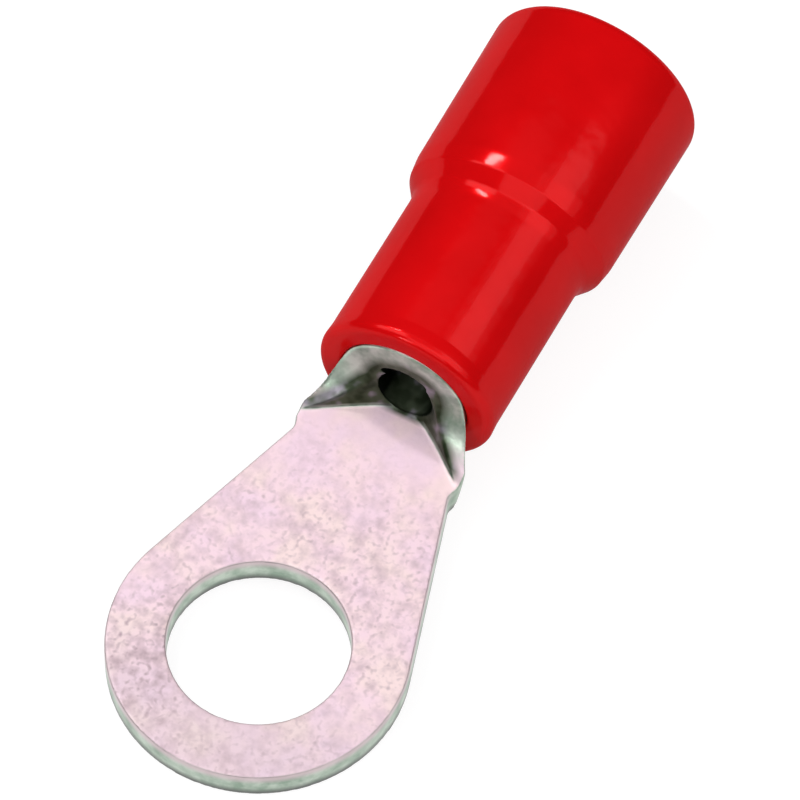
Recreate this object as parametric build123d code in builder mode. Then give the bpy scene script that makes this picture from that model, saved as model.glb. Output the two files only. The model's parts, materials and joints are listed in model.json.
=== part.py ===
from build123d import *
from math import hypot, radians, tan
import os

# Insulated ring terminal for an M4 stud and a wire of 0.5 to 1.5 square millimetres.
# It is two pieces: a copper ring tongue stamped and rolled from one strip, and a stepped
# vinyl sleeve pressed over its barrel.
# All lengths are in millimetres. The origin is the centre of the stud hole on the contact
# face, +X runs along the tongue to the barrel, and +Z points away from the contact face.

# Ring and tongue, cut from flat strip
stud_hole_diameter = 4.3
ring_diameter = 7.15
strip_thickness = 0.8
edge_rounding = 0.06

# Neck, where the sides of the tongue turn up into the barrel
neck_distance = 5.57
neck_width = 4.1
neck_rounding = 0.3
shoulder_run = 0.28
shoulder_spread = 0.12
shoulder_rounding = 0.3
scoop_run = 1.58
scoop_half_angle = 48
flare_clearance = 0.17
flare_hollow = 0.04

# Barrel, rolled to a tube with its edges butted along the top
wire_bore_diameter = 1.7
barrel_length = 4.95
barrel_sink = 0.08
seam_gap = 0.05

# Insulating sleeve, moulded in one piece
sleeve_wall = 0.62
front_bead = 0.04
front_bead_length = 0.55
front_rounding = 0.24
front_bore_rounding = 0.06
step_run = 0.44
step_foot_rounding = 0.5
step_brow_rounding = 0.45
insulation_bore_diameter = 4.1
rear_stage_length = 4.72
rear_flare = 0.06
rear_rounding = 0.3
rear_bore_rounding = 0.12
funnel_run = 0.45
funnel_rounding = 0.3

# Places worked out from the sizes
ring_radius = ring_diameter / 2
bore_radius = wire_bore_diameter / 2
barrel_radius = bore_radius + strip_thickness
axis_height = barrel_radius - barrel_sink
barrel_axis = Axis((0, 0, axis_height), (1, 0, 0))
shoulder_distance = neck_distance + shoulder_run
shoulder_half_width = neck_width / 2 + shoulder_spread
mouth_distance = neck_distance + scoop_run
scoop_top = strip_thickness + scoop_run
barrel_end = mouth_distance + barrel_length
barrel_top = axis_height + barrel_radius


# Tool for the funnel of the neck: a cone on the barrel's axis that opens from the wire bore
# over the tongue, cut off level with the tongue's top face
with BuildPart() as funnel_tool:
    cone_radius = bore_radius + scoop_run * tan(radians(scoop_half_angle))
    with BuildSketch(Plane.XZ):
        with BuildLine():
            Polyline(
                (mouth_distance, axis_height),
                (mouth_distance, axis_height + bore_radius),
                (neck_distance, axis_height + cone_radius),
                (neck_distance, axis_height),
                close=True,
            )
        make_face()
    revolve(axis=barrel_axis)
    split(bisect_by=Plane.XY.offset(strip_thickness), keep=Keep.TOP)


# The metal piece: flat tongue, flared neck and rolled tube, of one strip throughout
with BuildPart() as ring_tongue:
    # Side view: flat tongue, and the arc to which the flanks of the neck are trimmed
    with BuildSketch(Plane.XZ):
        with BuildLine():
            CenterArc((neck_distance, scoop_top), scoop_run, 270, 90)
            Polyline(
                (mouth_distance, scoop_top),
                (mouth_distance, -barrel_sink),
                (neck_distance, 0),
                (-ring_radius, 0),
                (-ring_radius, strip_thickness),
                (neck_distance, strip_thickness),
            )
        make_face()
    extrude(amount=ring_radius, both=True)

    # Plan view: ring, tangent sides that narrow to the neck, and the neck's two shoulders
    with BuildSketch(Plane.XY.offset(-barrel_sink)) as plan_view:
        with BuildLine():
            CenterArc((0, 0), ring_radius, 0, 360)
            Line((neck_distance, -neck_width / 2), (neck_distance, neck_width / 2))
        make_hull()
        with BuildLine():
            Polyline(
                (neck_distance, -neck_width / 2),
                (shoulder_distance, -shoulder_half_width),
                (mouth_distance, -shoulder_half_width),
                (mouth_distance, shoulder_half_width),
                (shoulder_distance, shoulder_half_width),
                (neck_distance, neck_width / 2),
                close=True,
            )
        make_face()
        # Counted back from the mouth: the mouth's corners, the shoulders, then the neck.
        # Each rounded shoulder has two corners, so the neck is then one place further on.
        fillet(plan_view.vertices().group_by(Axis.X)[-2], radius=shoulder_rounding)
        fillet(plan_view.vertices().group_by(Axis.X)[-4], radius=neck_rounding)
    extrude(amount=barrel_sink + scoop_top, mode=Mode.INTERSECT)

    # Flare of the neck's underside, turned about the barrel's axis
    with BuildSketch(Plane.XZ):
        with BuildLine():
            flare_radius = hypot(neck_width / 2, axis_height) + flare_clearance
            flare_start = (neck_distance, axis_height + flare_radius)
            SagittaArc(flare_start, (mouth_distance, barrel_top), -flare_hollow)
            Polyline(
                (mouth_distance, barrel_top),
                (mouth_distance, axis_height),
                (-ring_diameter, axis_height),
                (-ring_diameter, axis_height + ring_diameter),
                (neck_distance, axis_height + ring_diameter),
                flare_start,
            )
        make_face()
    revolve(axis=barrel_axis, mode=Mode.INTERSECT)

    # Tube
    with BuildSketch(Plane.YZ.offset(mouth_distance)):
        with Locations((0, axis_height)):
            Circle(barrel_radius)
    extrude(amount=barrel_length)

    # Funnel, wire bore, butt seam along the top, and stud hole
    add(funnel_tool.part, mode=Mode.SUBTRACT)
    with BuildSketch(Plane.YZ.offset(mouth_distance)):
        with Locations((0, axis_height)):
            Circle(bore_radius)
            Rectangle(seam_gap, barrel_top, align=(Align.CENTER, Align.MIN))
    extrude(amount=barrel_length, mode=Mode.SUBTRACT)
    Hole(radius=stud_hole_diameter / 2)

    # Worn edges of the stamping, round the contact face and round the top face
    neck_start = neck_distance - neck_rounding
    levels = ring_tongue.edges().filter_by_position(Axis.X, -ring_diameter, neck_start).group_by(Axis.Z)
    fillet(levels[0] + levels[-1], radius=edge_rounding)
ring_tongue.part.label = "ring_tongue"


# The sleeve: two stages joined by a soft step, with a funnel inside behind the barrel
with BuildPart() as insulating_sleeve:
    front_radius = barrel_radius + sleeve_wall
    entry_radius = insulation_bore_diameter / 2
    rear_radius = entry_radius + sleeve_wall
    step_end = barrel_end + step_run
    sleeve_end = step_end + rear_stage_length
    with BuildSketch(Plane.XZ):
        with BuildLine():
            FilletPolyline(
                (mouth_distance, barrel_top),
                (mouth_distance, axis_height + front_radius + front_bead),
                (mouth_distance + front_bead_length, axis_height + front_radius),
                (barrel_end, axis_height + front_radius),
                (step_end, axis_height + rear_radius),
                (sleeve_end, axis_height + rear_radius + rear_flare),
                (sleeve_end, axis_height + entry_radius),
                (barrel_end + funnel_run, axis_height + entry_radius),
                (barrel_end, barrel_top),
                radius=[
                    front_bore_rounding,
                    front_rounding,
                    front_bead_length,
                    step_foot_rounding,
                    step_brow_rounding,
                    rear_rounding,
                    rear_bore_rounding,
                    funnel_rounding,
                    funnel_rounding,
                ],
                close=True,
            )
        make_face()
    revolve(axis=barrel_axis)
insulating_sleeve.part.label = "insulating_sleeve"


os.makedirs("parts", exist_ok=True)
export_step(ring_tongue.part, "parts/ring_tongue.step")
export_step(insulating_sleeve.part, "parts/insulating_sleeve.step")
for piece in (ring_tongue.part, insulating_sleeve.part):
    print(piece.label, "volume", round(piece.volume, 3))
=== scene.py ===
# %% [markdown]
# # A red insulated ring terminal
# A ring terminal joins a wire to a screw. A stamped copper tongue carries the ring, its sides
# turn up at the neck into a rolled barrel that grips the wire, and a red vinyl sleeve covers
# the barrel. It is only 21 mm long, so the camera sits close, and small things such as the
# softened edge of the stamping decide whether it looks real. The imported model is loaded
# first, as a fixed frame: everything here is placed from it, and nothing in it is moved.

# %% Load the frame
import json
from math import acos, atan2, degrees, hypot, pi, radians, tan

import bpy
from mathutils import Matrix, Vector


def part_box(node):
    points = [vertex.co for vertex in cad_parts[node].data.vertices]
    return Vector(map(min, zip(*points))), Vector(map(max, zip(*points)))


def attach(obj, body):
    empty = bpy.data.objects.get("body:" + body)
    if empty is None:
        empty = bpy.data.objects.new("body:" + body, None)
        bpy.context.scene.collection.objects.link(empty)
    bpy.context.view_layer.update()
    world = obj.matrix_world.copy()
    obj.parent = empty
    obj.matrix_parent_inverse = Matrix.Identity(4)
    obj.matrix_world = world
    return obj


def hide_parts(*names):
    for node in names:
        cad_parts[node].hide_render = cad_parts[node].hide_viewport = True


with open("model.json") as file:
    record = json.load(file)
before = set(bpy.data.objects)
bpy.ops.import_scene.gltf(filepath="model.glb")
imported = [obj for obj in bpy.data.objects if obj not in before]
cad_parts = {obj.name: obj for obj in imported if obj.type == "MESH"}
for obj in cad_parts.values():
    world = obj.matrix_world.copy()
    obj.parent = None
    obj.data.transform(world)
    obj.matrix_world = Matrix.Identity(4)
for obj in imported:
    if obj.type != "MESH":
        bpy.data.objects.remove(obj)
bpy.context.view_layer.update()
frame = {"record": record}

# %% [markdown]
# ## Sizes
# Blender's lengths are metres here, and this object's details are a few hundredths of a
# millimetre. Blender's edit tools have built-in tolerances meant for larger things, so each
# piece is modelled at one unit to the millimetre and taken down to metres when it is done.
# The main sizes are read from the frame, so that the looks always fit the real part.

# %% Sizes read from the frame, in millimetres
MM = 0.001
mounts = {mount["name"]: mount for mount in frame["record"]["mounts"]}
tongue_low, tongue_high = (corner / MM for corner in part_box("ring_tongue"))
sleeve_low, sleeve_high = (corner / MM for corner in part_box("insulating_sleeve"))

hole_radius = mounts["stud_hole"]["dims"]["r_mm"]
bore_radius = mounts["wire_barrel"]["dims"]["r_mm"]
entry_radius = mounts["insulation_entry"]["dims"]["r_mm"]
axis_height = mounts["wire_barrel"]["pos_m"][2] / MM
ring_radius = -tongue_low.x
barrel_end = tongue_high.x
mouth = sleeve_low.x
sleeve_end = sleeve_high.x
barrel_sink = -tongue_low.z
barrel_radius = axis_height + barrel_sink
barrel_top = axis_height + barrel_radius
strip_thickness = barrel_radius - bore_radius
print("ring", round(2 * ring_radius, 2), "barrel", round(2 * barrel_radius, 2), "from", round(mouth, 2))

# %% [markdown]
# ## Drawing an outline with a pen
# Both pieces begin as an outline: the plan of the stamping, its side view, and the section of
# the sleeve. By hand one would add a vertex and press E again and again. The same is done
# here: a plane is merged to one point, and that point is extruded from place to place. A
# rounded corner is a vertex bevel, whose offset follows from the radius and the turn.

# %% The pen
NEAR = 0.0001


def start_outline(name, at):
    """A new mesh in edit mode that holds one point, at that place in millimetres."""
    bpy.ops.object.select_all(action="DESELECT")
    bpy.ops.mesh.primitive_plane_add(size=1)
    outline = bpy.context.object
    outline.name = name
    bpy.ops.object.mode_set(mode="EDIT")
    bpy.ops.mesh.merge(type="CENTER")
    bpy.ops.transform.translate(value=at)
    return outline


def draw_on(here, places):
    """Extrudes the picked point from here to each place in turn, and returns the last one."""
    for place in places:
        step = Vector(place) - Vector(here)
        bpy.ops.mesh.extrude_vertices_move(TRANSFORM_OT_translate={"value": step})
        here = place
    return here


def pick(piece, test):
    """Selects the vertices that pass the test, and nothing else."""
    bpy.ops.mesh.select_mode(type="VERT")
    bpy.ops.mesh.select_all(action="DESELECT")
    bpy.ops.object.mode_set(mode="OBJECT")
    for vertex in piece.data.vertices:
        vertex.select = test(vertex)
    bpy.ops.object.mode_set(mode="EDIT")


def round_corner(outline, before, corner, after, radius, segments=10):
    """Rounds one corner of an outline, given the places before and after it."""
    before, corner, after = Vector(before), Vector(corner), Vector(after)
    turn = (corner - before).angle(after - corner)
    pick(outline, lambda vertex: (vertex.co - corner).length < NEAR)
    offset = radius * tan(turn / 2)
    bpy.ops.mesh.bevel(affect="VERTICES", offset=offset, segments=segments, clamp_overlap=False)


def close_up(threshold=NEAR):
    """Merges the points that meet, over the whole mesh."""
    bpy.ops.mesh.select_all(action="SELECT")
    bpy.ops.mesh.remove_doubles(threshold=threshold)


def turn_round(steps):
    """Spins all that is selected a full turn about the barrel's axis, and closes the seam."""
    bpy.ops.mesh.select_all(action="SELECT")
    bpy.ops.mesh.spin(steps=steps, angle=2 * pi, center=(0, 0, axis_height), axis=(1, 0, 0))
    close_up()
    bpy.ops.mesh.normals_make_consistent(inside=False)


# %% [markdown]
# ## The red sleeve
# The sleeve is one moulding with two stages: a narrow one over the barrel and a wide one that
# takes the wire's insulation. It could be two cylinders joined by a cone, but the soft brow
# and foot of the step, the bead at the front and the rounded rear rim are what catch the
# light. So the whole section of the wall is drawn once, its corners are rounded, and it is
# spun about the barrel's axis, as a turned or moulded part is thought of. Before and behind
# the step the wall rises by a few hundredths of a millimetre over a short run, and these two
# shallow slopes are what mirror a lamp as small glints.

# %% Draw the section of the sleeve's wall
sleeve_wall = 0.62
front_bead = 0.04
front_bead_length = 0.55
front_rounding = 0.24
front_bore_rounding = 0.1
step_run = 0.44
step_advance = 0.12
step_lean = 4
step_foot_rounding = 0.4
apron_rise = 0.035
apron_run = 0.26
apron_rounding = 0.8
step_brow_rounding = 0.14
crown_drop = 0.06
crown_run = 0.42
crown_rounding = 1.0
rear_flare = 0.06
rear_rounding = 0.3
rear_bore_rounding = 0.12
funnel_run = 0.45
funnel_rounding = 0.3

front_radius = barrel_radius + sleeve_wall
rear_radius = entry_radius + sleeve_wall
step_foot = barrel_end - step_advance
step_end = step_foot + step_run
section = [
    (mouth, barrel_radius, front_bore_rounding),
    (mouth, front_radius + front_bead, front_rounding),
    (mouth + front_bead_length, front_radius, front_bead_length),
    (step_foot - apron_run, front_radius, apron_rounding),
    (step_foot, front_radius + apron_rise, step_foot_rounding),
    (step_end, rear_radius - crown_drop, step_brow_rounding),
    (step_end + crown_run, rear_radius, crown_rounding),
    (sleeve_end, rear_radius + rear_flare, rear_rounding),
    (sleeve_end, entry_radius, rear_bore_rounding),
    (barrel_end + funnel_run, entry_radius, funnel_rounding),
    (barrel_end, barrel_radius, funnel_rounding),
]
corners = [Vector((along, 0, axis_height + radius)) for along, radius, _ in section]
roundings = [rounding for _, _, rounding in section]
sleeve = start_outline("sleeve", corners[0])
draw_on(corners[0], corners[1:] + corners[:1])
close_up()
for number, rounding in enumerate(roundings):
    following = corners[(number + 1) % len(corners)]
    round_corner(sleeve, corners[number - 1], corners[number], following, rounding)

# %% Spin the section into the sleeve
sleeve_steps = 240
turn_round(sleeve_steps)
bpy.ops.object.mode_set(mode="OBJECT")
print("sleeve:", len(sleeve.data.polygons), "faces, widest", round(sleeve.dimensions.y, 2), "mm")

# %% [markdown]
# ## A step that leans
# On this moulding the step is not square to the axis: its top lies nearer to the ring than
# its sides do. Turning the whole step at once would make the wall oval. Instead each ring of
# points around the step is turned about its own middle, which leans it and keeps it round.

# %% Lean the step
row_decimals = 4
skin_radius = (entry_radius + front_radius) / 2
rows = {}
for vertex in sleeve.data.vertices:
    outside = hypot(vertex.co.y, vertex.co.z - axis_height) > skin_radius
    if outside and step_foot - step_run < vertex.co.x < step_end + 2 * crown_run:
        rows.setdefault(round(vertex.co.x, row_decimals), set()).add(vertex.index)
bpy.ops.object.mode_set(mode="EDIT")
for along, members in rows.items():
    pick(sleeve, lambda vertex: vertex.index in members)
    bpy.ops.transform.rotate(
        value=radians(step_lean), orient_axis="Y", center_override=(along, 0, axis_height))
bpy.ops.object.mode_set(mode="OBJECT")
print("the step:", len(rows), "rings of points, each turned by", step_lean, "degrees")

# %% [markdown]
# ## The stamped tongue and its rolled barrel
# On the real part this is one copper strip: the press cuts the outline, lifts the neck's two
# sides and rolls the barrel shut over the wire bore. Bending a mesh through those stages is
# slow and hard to keep exact. Instead the piece is carved, as from solid: the plan and the
# side view are each drawn and made thick, what both share is kept, a turned form trims the
# flared underside and the barrel, and the openings are cut with the Boolean modifier.

# %% Helpers that make an outline thick and carve with it
def thicken(piece, move):
    """Fills a closed outline and extrudes it by that move to a solid."""
    bpy.ops.mesh.select_all(action="SELECT")
    bpy.ops.mesh.edge_face_add()
    bpy.ops.mesh.extrude_region_move(TRANSFORM_OT_translate={"value": move})
    bpy.ops.mesh.select_all(action="SELECT")
    bpy.ops.mesh.normals_make_consistent(inside=False)
    bpy.ops.object.mode_set(mode="OBJECT")


def carve(piece, tool, how):
    """Applies a Boolean with the tool, and deletes the tool."""
    bpy.ops.object.select_all(action="DESELECT")
    bpy.context.view_layer.objects.active = piece
    modifier = piece.modifiers.new("carve", "BOOLEAN")
    modifier.operation = how
    modifier.solver = "EXACT"
    modifier.object = tool
    bpy.ops.object.modifier_apply(modifier="carve")
    bpy.data.objects.remove(tool)


# %% Plan view: ring, tangent sides, neck and shoulders
neck = 5.57
neck_half_width = 2.05
neck_rounding = 0.3
shoulder_run = 0.28
shoulder = neck + shoulder_run
shoulder_half_width = 2.17
shoulder_rounding = 0.3
overrun = 1.0
ring_steps = 300

tangent = atan2(neck_half_width, neck) + acos(ring_radius / hypot(neck, neck_half_width))
floor_of_plan = -barrel_sink - overrun
lead = Vector((ring_radius, 0, floor_of_plan))
lead.rotate(Matrix.Rotation(-tangent, 3, "Z"))
tongue = start_outline("tongue", lead)
bpy.ops.mesh.spin(
    steps=ring_steps, angle=2 * (pi - tangent), center=(0, 0, floor_of_plan), axis=(0, 0, 1))
arc_end = Vector((lead.x, -lead.y, floor_of_plan))
far_end = barrel_end + overrun
plan = [
    (neck, neck_half_width, neck_rounding),
    (shoulder, shoulder_half_width, shoulder_rounding),
    (far_end, shoulder_half_width, 0),
    (far_end, -shoulder_half_width, 0),
    (shoulder, -shoulder_half_width, shoulder_rounding),
    (neck, -neck_half_width, neck_rounding),
]
around = [arc_end] + [Vector((x, y, floor_of_plan)) for x, y, _ in plan] + [lead]
draw_on(arc_end, around[1:])
close_up()
for number, (_, _, rounding) in enumerate(plan):
    if rounding:
        round_corner(tongue, *around[number:number + 3], rounding)
thicken(tongue, (0, 0, overrun + barrel_top + overrun))
print("plan:", len(tongue.data.vertices), "points, long", round(tongue.dimensions.x, 2), "mm")

# %% Side view: flat strip, and the arc to which the neck's sides are trimmed
scoop_run = 1.58
scoop_top = strip_thickness + scoop_run
arc_steps = 48

# One length clears the ring both ahead of it and beside it.
side = -ring_radius - overrun
start = Vector((neck, side, strip_thickness))
side_view = start_outline("side_view", start)
bpy.ops.mesh.spin(steps=arc_steps, angle=pi / 2, center=(neck, side, scoop_top), axis=(0, 1, 0))
outline = [
    (mouth, scoop_top),
    (mouth, barrel_top + overrun),
    (far_end, barrel_top + overrun),
    (far_end, -barrel_sink - overrun),
    (mouth, -barrel_sink - overrun),
    (mouth, -barrel_sink),
    (neck, 0),
    (side, 0),
    (side, strip_thickness),
    (neck, strip_thickness),
]
outline = [Vector((x, side, z)) for x, z in outline]
draw_on(outline[0], outline[1:])
close_up()
thicken(side_view, (0, -2 * side, 0))
print("side view:", len(side_view.data.vertices), "points")
carve(tongue, side_view, "INTERSECT")
print("after the side view:", len(tongue.data.polygons), "faces")

# %% The turned form trims the flared underside and the barrel
flare_clearance = 0.17
flare_hollow = 0.04
flare_steps = 10
barrel_steps = 240
flare_radius = hypot(neck_half_width, axis_height) + flare_clearance
wide = ring_radius + overrun + axis_height
turned_profile = [(side, 0), (side, wide), (neck, wide), (neck, flare_radius)]
for step in range(1, flare_steps):
    share = step / flare_steps
    x = neck + share * (mouth - neck)
    straight = flare_radius + share * (barrel_radius - flare_radius)
    turned_profile.append((x, straight - 4 * flare_hollow * share * (1 - share)))
turned_profile += [(mouth, barrel_radius), (barrel_end, barrel_radius), (barrel_end, 0)]
places = [Vector((x, 0, axis_height + r)) for x, r in turned_profile]
turned_form = start_outline("turned_form", places[0])
draw_on(places[0], places[1:])
turn_round(barrel_steps)
bpy.ops.object.mode_set(mode="OBJECT")
carve(tongue, turned_form, "INTERSECT")
print("after the turned form:", len(tongue.data.polygons), "faces")

# %% [markdown]
# ## The mouth of the barrel
# Where the flat strip becomes a tube, its inside is half of a short funnel that leads the
# wire into the bore. A cone gives that shape exactly, and its floor is the flat strip, so the
# cone is cut off level at the strip's top face. The two sides of the neck are rarely bent
# quite alike: here the funnel leans to one side, sits off the middle and is a little tall.

# %% Cut the funnel out of the neck
scoop_half_angle = 52
scoop_lean = 3.5
scoop_setback = 0.15
scoop_offset = -0.12
scoop_stretch = 1.12
tip_share = 0.3
funnel_end = mouth - scoop_setback
funnel_start = neck - overrun / 2
opening = tan(radians(scoop_half_angle))
tip_place = funnel_end + (1 - tip_share) * bore_radius / opening
wide_radius = bore_radius + (funnel_end - funnel_start) * opening
profile = [
    (funnel_start, 0),
    (funnel_start, wide_radius),
    (tip_place, tip_share * bore_radius),
    (tip_place, 0),
]
places = [Vector((x, 0, axis_height + r)) for x, r in profile]
funnel = start_outline("funnel", places[0])
draw_on(places[0], places[1:])
turn_round(barrel_steps)
bpy.ops.mesh.select_all(action="SELECT")
bpy.ops.transform.translate(value=(0, scoop_offset, 0))
bpy.ops.transform.resize(value=(1, 1, scoop_stretch), center_override=(funnel_end, 0, axis_height))
bpy.ops.transform.rotate(
    value=radians(scoop_lean), orient_axis="Z",
    center_override=(funnel_end, scoop_offset, axis_height))
bpy.ops.mesh.bisect(
    plane_co=(0, 0, strip_thickness), plane_no=(0, 0, 1), use_fill=True, clear_inner=True)
bpy.ops.object.mode_set(mode="OBJECT")
carve(tongue, funnel, "DIFFERENCE")
print("after the funnel:", len(tongue.data.polygons), "faces")

# %% Cut the wire bore, the seam and the stud hole
seam_gap = 0.05
bpy.ops.object.select_all(action="DESELECT")
bpy.ops.mesh.primitive_cylinder_add(
    vertices=barrel_steps, radius=bore_radius, depth=far_end - mouth, rotation=(0, pi / 2, 0),
    location=((mouth + far_end) / 2, 0, axis_height))
bpy.ops.object.transform_apply(location=True, rotation=True, scale=True)
carve(tongue, bpy.context.object, "DIFFERENCE")

bpy.ops.mesh.primitive_cube_add(
    size=1, scale=(far_end - mouth, seam_gap, barrel_top + overrun - axis_height),
    location=((mouth + far_end) / 2, 0, (axis_height + barrel_top + overrun) / 2))
bpy.ops.object.transform_apply(location=True, rotation=True, scale=True)
carve(tongue, bpy.context.object, "DIFFERENCE")

bpy.ops.mesh.primitive_cylinder_add(
    vertices=ring_steps, radius=hole_radius, depth=2 * overrun + strip_thickness,
    location=(0, 0, strip_thickness / 2))
bpy.ops.object.transform_apply(location=True, rotation=True, scale=True)
carve(tongue, bpy.context.object, "DIFFERENCE")
print("after the cuts:", len(tongue.data.polygons), "faces, long", round(tongue.dimensions.x, 2), "mm")

# %% [markdown]
# ## Softened edges
# Nothing that came out of a press and a tumbling barrel has a knife edge: each edge is worn
# round by a few hundredths of a millimetre, and that thin highlight is what makes stamped
# metal look real. A Bevel modifier would round them, but it trips over the slivers that
# Booleans leave. So the solid is recast as an even skin of small faces with the Remesh
# modifier, relaxed with Smooth, and thinned with Decimate where it is flat.

# %% Recast, relax and thin the tongue
skin_size = 0.033
relax_rounds = 18
relax_share = 0.5
most_triangles = 190000


def finish_with(piece, kind, **settings):
    """Adds one modifier with those settings and applies it."""
    bpy.ops.object.select_all(action="DESELECT")
    bpy.context.view_layer.objects.active = piece
    modifier = piece.modifiers.new("finish", kind)
    for name, value in settings.items():
        setattr(modifier, name, value)
    bpy.ops.object.modifier_apply(modifier="finish")


def triangles(piece):
    """How many triangles the piece's faces come to."""
    return sum(len(face.vertices) - 2 for face in piece.data.polygons)


finish_with(tongue, "REMESH", mode="VOXEL", voxel_size=skin_size)
finish_with(tongue, "SMOOTH", factor=relax_share, iterations=relax_rounds)
finish_with(tongue, "DECIMATE", ratio=most_triangles / triangles(tongue))
print("tongue:", triangles(tongue), "triangles")

# %% Take both pieces down to metres and fix them to the frame
def settle(piece, node):
    """Scales a finished piece to metres, smooths its shading and lets it stand for its node."""
    bpy.ops.object.select_all(action="DESELECT")
    bpy.context.view_layer.objects.active = piece
    piece.select_set(True)
    piece.scale = (MM, MM, MM)
    bpy.ops.object.transform_apply(location=True, rotation=True, scale=True)
    bpy.ops.object.shade_smooth()
    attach(piece, "root")
    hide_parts(node)
    print(piece.name, "stands for", node, "and is", [round(v / MM, 2) for v in piece.dimensions], "mm")


settle(tongue, "ring_tongue")
settle(sleeve, "insulating_sleeve")

# %% [markdown]
# ## Tinned copper
# The strip is plated with matt tin. On the flat faces it keeps a pale, faintly pink bloom,
# mottled and full of fine grey specks; where it was sheared, bent or rolled it is rubbed to
# a greyer, smoother metal. Both are one material: the share of each follows the way the
# surface faces, so that the finish stays right from every side. The sheared edge is pinker
# where the punch rolled it over, and darker along the bottom: partly its torn fracture zone,
# partly painted shade at its foot.

# %% Helpers for node materials
def new_finish(name):
    """A new node material, its node tree and its shader."""
    material = bpy.data.materials.new(name)
    material.use_nodes = True
    tree = material.node_tree
    return material, tree, tree.nodes["Principled BSDF"]


def node(tree, kind, sources=None, **settings):
    """Adds a node, sets its properties, and fills its inputs with values or links."""
    made = tree.nodes.new(kind)
    for name, value in settings.items():
        setattr(made, name, value)
    for name, source in (sources or {}).items():
        if isinstance(source, bpy.types.NodeSocket):
            tree.links.new(source, made.inputs[name])
        else:
            made.inputs[name].default_value = source
    return made


def ramp(tree, source, *stops):
    """A colour ramp with the given (place, colour) stops."""
    made = node(tree, "ShaderNodeValToRGB", {"Fac": source})
    elements = made.color_ramp.elements
    elements[0].position, elements[0].color = stops[0]
    elements[1].position, elements[1].color = stops[-1]
    for place, colour in stops[1:-1]:
        elements.new(place).color = colour
    return made.outputs["Color"]


def remap(tree, source, low, high, to_low=0.0, to_high=1.0):
    """Carries a value from one range to another, held at both ends."""
    return node(
        tree, "ShaderNodeMapRange",
        {"Value": source, "From Min": low, "From Max": high, "To Min": to_low, "To Max": to_high},
    ).outputs["Result"]


def sums(tree, operation, first, second):
    """One sum of two values, such as MULTIPLY or MAXIMUM."""
    return node(tree, "ShaderNodeMath", {0: first, 1: second}, operation=operation).outputs[0]


def mix(tree, share, first, second):
    """Mixes two colours by a share."""
    sources = {"Factor": share, 6: first, 7: second}
    return node(tree, "ShaderNodeMix", sources, data_type="RGBA").outputs[2]


def noise(tree, place, size_mm, detail=3.0, roughness=0.55):
    """Noise whose lumps are about that many millimetres across."""
    return node(
        tree, "ShaderNodeTexNoise",
        {"Vector": place, "Scale": 1 / (size_mm * MM), "Detail": detail, "Roughness": roughness},
    ).outputs["Fac"]


def linear(red, green, blue):
    """A colour as picked on screen, from 0 to 255, as the linear value that a shader takes."""
    shares = [value / 255 for value in (red, green, blue)]
    return (*[s / 12.92 if s <= 0.04045 else ((s + 0.055) / 1.055) ** 2.4 for s in shares], 1.0)


# %% The flat faces: bloom, mottling, specks and wear
# Sizes, runs and places are in millimetres. A band is the part of a value's range that counts.
flat_band = (0.72, 0.97)
bloom_stops = (0.34, linear(243, 215, 230)), (0.5, linear(246, 218, 227)), (0.66, linear(247, 223, 223))
aged_colour, speck_colour = linear(195, 182, 188), linear(186, 160, 169)
bloom_size, mottle_size, speck_size, patch_size = 1.1, 0.3, 0.13, 1.6
mottle_band, mottle_most = (0.42, 0.8), 0.85
speck_band, speck_most = (0.5, 0.85), 0.9
patch_band, patch_least = (0.35, 0.65), 0.5
worn_middle = Vector((-1.8, 2.4, strip_thickness))
worn_run, worn_most = (0.6, 2.2), 0.6
clean_run, clean_least = (3.6, 6.0), 0.25
aged_run, aged_most = (-2.4, -0.2), 0.3


def metres(run):
    """The two ends of a run, taken from millimetres to metres."""
    return [end * MM for end in run]


tin, tree, shader = new_finish("tinned_copper_finish")
coordinates = node(tree, "ShaderNodeTexCoord")
place = coordinates.outputs["Object"]
facing = node(tree, "ShaderNodeSeparateXYZ", {"Vector": coordinates.outputs["Normal"]}).outputs["Z"]
facing = sums(tree, "ABSOLUTE", facing, 0.0)
at = node(tree, "ShaderNodeSeparateXYZ", {"Vector": place}).outputs
flat_share = remap(tree, facing, *flat_band)

bloom = ramp(tree, noise(tree, place, bloom_size, detail=2.0), *bloom_stops)
mottle_share = remap(tree, noise(tree, place, mottle_size, detail=2.0), *mottle_band, 0.0, mottle_most)
speck_share = remap(tree, noise(tree, place, speck_size, detail=0.5), *speck_band, 0.0, speck_most)
patch_share = remap(tree, noise(tree, place, patch_size, detail=1.0), *patch_band, patch_least, 1.0)
from_worn = node(
    tree, "ShaderNodeVectorMath", {0: place, 1: worn_middle * MM}, operation="DISTANCE",
).outputs["Value"]
worn_share = remap(tree, from_worn, *metres(worn_run), worn_most, 0.0)
clean_share = remap(tree, at["X"], *metres(clean_run), 1.0, clean_least)
patch_share = sums(tree, "MULTIPLY", sums(tree, "ADD", patch_share, worn_share), clean_share)
speck_share = sums(tree, "MAXIMUM", mottle_share, speck_share)
speck_share = sums(tree, "MULTIPLY", speck_share, patch_share)
speck_share = remap(tree, speck_share, 0.0, 1.0)
aged_share = remap(tree, at["X"], *metres(aged_run), aged_most, 0.0)
bloom = mix(tree, aged_share, bloom, aged_colour)
flat_colour = mix(tree, speck_share, bloom, speck_colour)
print("flat faces:", len(tree.nodes), "nodes")

# %% The sheared and formed faces
rubbed_stops = (0.38, linear(140, 160, 143)), (0.62, linear(191, 203, 190))
rolled_colour, torn_and_shade_colour = linear(212, 186, 195), linear(100, 104, 100)
rubbed_size = 0.5
rolled_run, rolled_most = (0.5, 0.7), 0.7
torn_and_shade_run = (0.1, 0.3)
neck_blend = 0.2

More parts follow.
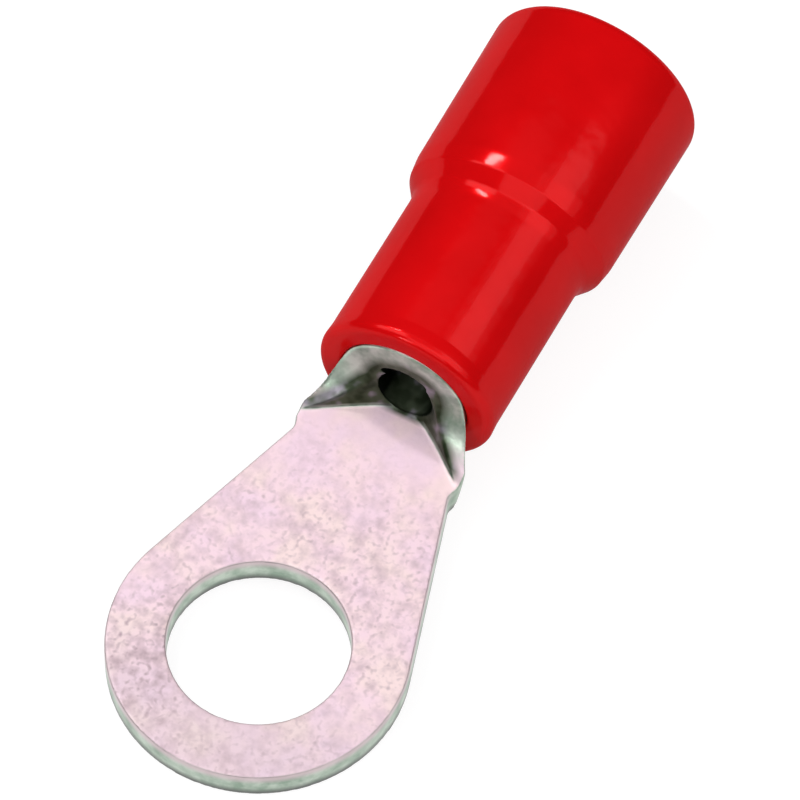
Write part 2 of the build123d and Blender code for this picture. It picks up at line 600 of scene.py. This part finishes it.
rubbed_colour = ramp(tree, noise(tree, place, rubbed_size), *rubbed_stops)
rolled_share = remap(tree, at["Z"], *metres(rolled_run), 0.0, rolled_most)
ahead_share = remap(tree, at["X"], *metres((neck - neck_blend, neck + neck_blend)), 1.0, 0.0)
rolled_share = sums(tree, "MULTIPLY", rolled_share, ahead_share)
rubbed_colour = mix(tree, rolled_share, rubbed_colour, rolled_colour)
# Darker towards the bottom: on the sheared edge partly the torn fracture zone, partly painted shade at
# the foot and under the part.
torn_and_shade_share = remap(tree, at["Z"], *metres(torn_and_shade_run), 1.0, 0.0)
rubbed_colour = mix(tree, torn_and_shade_share, rubbed_colour, torn_and_shade_colour)
colour = mix(tree, flat_share, rubbed_colour, flat_colour)
print("with the sheared faces:", len(tree.nodes), "nodes")

# %% [markdown]
# ## Painted shade in the funnel
# Inside the funnel and the bore the tin is painted darker, as painted shade and painted dark
# reflections of the hollow. Painting that by hand would need a map. The funnel's own cone is
# known, so the material works out how far inside that cone a point lies, and lets the painted
# shade fade out just over the funnel's edge, a little farther out on the +y side.

# %% The painted shade's share and colour
funnel_shade_stops = (0.36, linear(44, 54, 36)), (0.52, linear(76, 86, 68)), (0.66, linear(136, 132, 140))
funnel_shade_size = 0.6
funnel_shade_fade = (-0.36, -0.1)
left_run, left_reach = (0.3, 1.1), 0.14
floor_fade = (0.02, 0.12)
bore_fade = (-0.25, -0.1)

funnel_tip = Vector((funnel_end, scoop_offset, axis_height)) * MM
turned = node(
    tree, "ShaderNodeVectorRotate",
    {"Vector": place, "Center": funnel_tip, "Angle": radians(scoop_lean)}, rotation_type="Z_AXIS",
).outputs["Vector"]
from_tip = node(
    tree, "ShaderNodeVectorMath", {0: turned, 1: funnel_tip}, operation="SUBTRACT",
).outputs["Vector"]
across = node(
    tree, "ShaderNodeVectorMath", {0: from_tip, 1: (0, 1, 1 / scoop_stretch)}, operation="MULTIPLY",
).outputs["Vector"]
across = node(tree, "ShaderNodeVectorMath", {0: across}, operation="LENGTH").outputs["Value"]
forward = node(tree, "ShaderNodeSeparateXYZ", {"Vector": from_tip}).outputs["X"]
reach = sums(tree, "MAXIMUM", sums(tree, "MULTIPLY", forward, -opening), 0.0)
depth = sums(tree, "SUBTRACT", sums(tree, "ADD", reach, bore_radius * MM), across)
# The painted shade reaches a little farther over the funnel's edge on the +y side.
left_spread = remap(tree, at["Y"], *metres(left_run), 0.0, left_reach * MM)
depth = sums(tree, "ADD", depth, left_spread)
inside_share = remap(tree, depth, *metres(funnel_shade_fade))
above_share = remap(tree, at["Z"], *metres(strip_thickness + end for end in floor_fade))
bored_share = remap(tree, at["X"], *metres(mouth + end for end in bore_fade))
above_share = sums(tree, "MAXIMUM", above_share, bored_share)
behind_share = remap(tree, at["X"], *metres((neck, neck + neck_blend)))
inside_share = sums(tree, "MULTIPLY", inside_share, sums(tree, "MULTIPLY", above_share, behind_share))
# Painted shade and painted dark reflection of the hollow, mixed over the tin's colour inside the funnel
# and bore.
funnel_shade = ramp(tree, noise(tree, place, funnel_shade_size, detail=2.0), *funnel_shade_stops)
colour = mix(tree, inside_share, colour, funnel_shade)
tree.links.new(colour, shader.inputs["Base Color"])
print("with the grime:", len(tree.nodes), "nodes")

# %% Roughness, metal and grain of the tin
sheen_band, rubbed_roughness = (0.35, 0.65), (0.3, 0.42)
matt_gain, bloom_metal = 0.15, 0.15
sheen_size, grain_size, grain_strength, grain_height = 0.25, 0.12, 0.3, 0.015

rough = remap(tree, noise(tree, place, sheen_size), *sheen_band, *rubbed_roughness)
rough = sums(tree, "ADD", rough, remap(tree, flat_share, 0.0, 1.0, 0.0, matt_gain))
tree.links.new(rough, shader.inputs["Roughness"])
metal_share = remap(tree, flat_share, 0.0, 1.0, 1.0, bloom_metal)
tree.links.new(metal_share, shader.inputs["Metallic"])
grain = node(tree, "ShaderNodeBump", {
    "Height": noise(tree, place, grain_size, detail=4.0),
    "Strength": grain_strength, "Distance": grain_height * MM,
})
tree.links.new(grain.outputs["Normal"], shader.inputs["Normal"])
tongue.data.materials.clear()
tongue.data.materials.append(tin)
print(tin.name, "is on", tongue.name, "and has", len(tree.nodes), "nodes")

# %% [markdown]
# ## Red vinyl
# The sleeve is glossy moulded vinyl, coloured right through in one saturated red. A plain red
# shader goes pale where it reflects the room at a low angle, and looks like painted plastic.
# So the body is given a small metallic share, whose soft reflections stay red, and only a
# thin coat on top is clear and sharp. Its high index keeps the glints, and its low weight
# keeps the white floor off the edges. The real moulding has a very slight unevenness from its
# die, so a shallow bump and a little change of roughness break up the reflections.

# %% The vinyl's material
vinyl_stops = (0.35, linear(217, 6, 10)), (0.65, linear(225, 8, 13))
gloss_band, vinyl_roughness = (0.3, 0.7), (0.2, 0.26)
shade_size, gloss_size, ripple_size, ripple_strength, ripple_height = 1.8, 0.4, 0.9, 0.3, 0.03
vinyl_constants = {
    "Metallic": 0.15,
    "Specular IOR Level": 0.0,
    "Specular Tint": (1.0, 0.3, 0.35, 1.0),
    "Coat Weight": 0.09,
    "Coat IOR": 2.0,
    "Coat Roughness": 0.09,
}

vinyl, tree, shader = new_finish("red_vinyl_finish")
place = node(tree, "ShaderNodeTexCoord").outputs["Object"]
colour = ramp(tree, noise(tree, place, shade_size, detail=2.0), *vinyl_stops)
tree.links.new(colour, shader.inputs["Base Color"])
rough = remap(tree, noise(tree, place, gloss_size), *gloss_band, *vinyl_roughness)
tree.links.new(rough, shader.inputs["Roughness"])
ripple = node(tree, "ShaderNodeBump", {
    "Height": noise(tree, place, ripple_size, detail=2.0),
    "Strength": ripple_strength, "Distance": ripple_height * MM,
})
tree.links.new(ripple.outputs["Normal"], shader.inputs["Normal"])
tree.links.new(ripple.outputs["Normal"], shader.inputs["Coat Normal"])
for name, value in vinyl_constants.items():
    shader.inputs[name].default_value = value
sleeve.data.materials.clear()
sleeve.data.materials.append(vinyl)
print(vinyl.name, "is on", sleeve.name, "and has", len(tree.nodes), "nodes")

# %% [markdown]
# ## Floor, light and camera
# The terminal lies as it comes to rest: on the tip of its ring and on the brow of the
# sleeve's step. The piece keeps its own frame, so the floor takes that small tilt instead.
# The floor shows as white paper to the camera and in reflections, and still keeps the shadow.

# %% The floor
floor_size = 2
white = (1, 1, 1, 1)
paper_grey, paper_roughness, paper_glow = 0.25, 0.9, 0.85
tip = Vector((-ring_radius, 0, 0)) * MM


def slope(vertex):
    """How steeply a line from the ring's tip climbs to the vertex."""
    return (vertex.co.z - tip.z) / (vertex.co.x - tip.x)


brow_foot = min(sleeve.data.vertices, key=slope).co
tilt = atan2(brow_foot.z - tip.z, brow_foot.x - tip.x)
bpy.ops.object.select_all(action="DESELECT")
bpy.ops.mesh.primitive_plane_add(size=floor_size, location=tip, rotation=(0, -tilt, 0))
floor = bpy.context.object
floor.name = "floor"
bpy.ops.object.transform_apply(location=True, rotation=True, scale=True)
paper, tree, shader = new_finish("white_paper")
floor.data.materials.append(paper)
shader.inputs["Base Color"].default_value = (paper_grey, paper_grey, paper_grey, 1)
shader.inputs["Roughness"].default_value = paper_roughness
shader.inputs["Specular IOR Level"].default_value = 0.0
rays = node(tree, "ShaderNodeLightPath")
seen = sums(tree, "MAXIMUM", rays.outputs["Is Camera Ray"], rays.outputs["Is Glossy Ray"])
seen = sums(tree, "MAXIMUM", seen, rays.outputs["Is Transmission Ray"])
shader.inputs["Emission Color"].default_value = white
tree.links.new(sums(tree, "MULTIPLY", seen, paper_glow), shader.inputs["Emission Strength"])
print("the floor is tilted by", round(degrees(tilt), 2), "degrees")

# %% [markdown]
# ## Soft lamps and one small bright one
# A round, glossy sleeve shows every lamp as a stripe, so the lamps are chosen by what they
# draw on it: two nested strips on the right make the long bright band with soft edges, wide
# ones above and in front fill the rest, a small one reaches the left flank, and a narrow,
# bright one makes the glints at the step.
# Together they are set to a plain level: the pale tin renders about as its colour is written.

# %% The lamps
world_strength = 0.13
world = bpy.data.worlds.new("studio")
bpy.context.scene.world = world
world.use_nodes = True
sky = world.node_tree.nodes["Background"].inputs
sky["Color"].default_value = white
sky["Strength"].default_value = world_strength

target = Vector((6, 0, 1)) * MM
# Name, direction from the target, distance, length along x and across it in metres, brightness.
lamps = [
    ("glint", (0.266, 0.47, 0.842), 0.3, 0.011, 0.08, 54.0),
    ("window", (-0.1, 0.55, 0.83), 0.3, 0.18, 0.2, 2.5),
    ("top_strip", (0.0, 0.1, 1.0), 0.3, 0.36, 0.3, 0.3),
    ("right_strip", (0.0, -0.7, 0.71), 0.3, 0.36, 0.28, 0.64),
    ("right_core", (0.0, -0.7, 0.71), 0.29, 0.35, 0.15, 1.15),
    ("front_softbox", (-0.6, -0.15, 0.78), 0.3, 0.24, 0.24, 1.25),
    ("flank_light", (-0.84, 0.24, 0.5), 0.3, 0.06, 0.06, 8.0),
]
for name, direction, away, along, across, brightness in lamps:
    back = Vector(direction).normalized()
    level = Vector((0, 1, 0)).cross(back).normalized()
    facing_target = Matrix((level, back.cross(level), back)).transposed().to_4x4()
    bpy.ops.object.light_add(type="AREA")
    lamp = bpy.context.object
    lamp.name = name
    lamp.data.shape = "RECTANGLE"
    lamp.data.size = along
    lamp.data.size_y = across
    lamp.data.energy = brightness * along * across * pi
    lamp.matrix_world = Matrix.Translation(target + back * away) @ facing_target
print("lamps:", ", ".join(name for name, *_ in lamps))

# %% The camera
camera_place = Vector((-69.95, -38.98, 141.69)) * MM
camera_right = Vector((0.4665, -0.8845, 0.0101))
camera_up = Vector((0.751, 0.402, 0.5238))
camera_back = camera_right.cross(camera_up)
bpy.ops.object.camera_add()
camera = bpy.context.object
camera.data.lens = 315
camera.data.sensor_width = 36
camera.data.clip_start = 0.005
camera.matrix_world = (
    Matrix.Translation(camera_place)
    @ Matrix((camera_right, camera_up, camera_back)).transposed().to_4x4()
)
bpy.context.scene.camera = camera
print("the camera is", round((camera_place - target).length / MM), "mm away")
bpy.context.scene.view_settings.view_transform = "Standard"
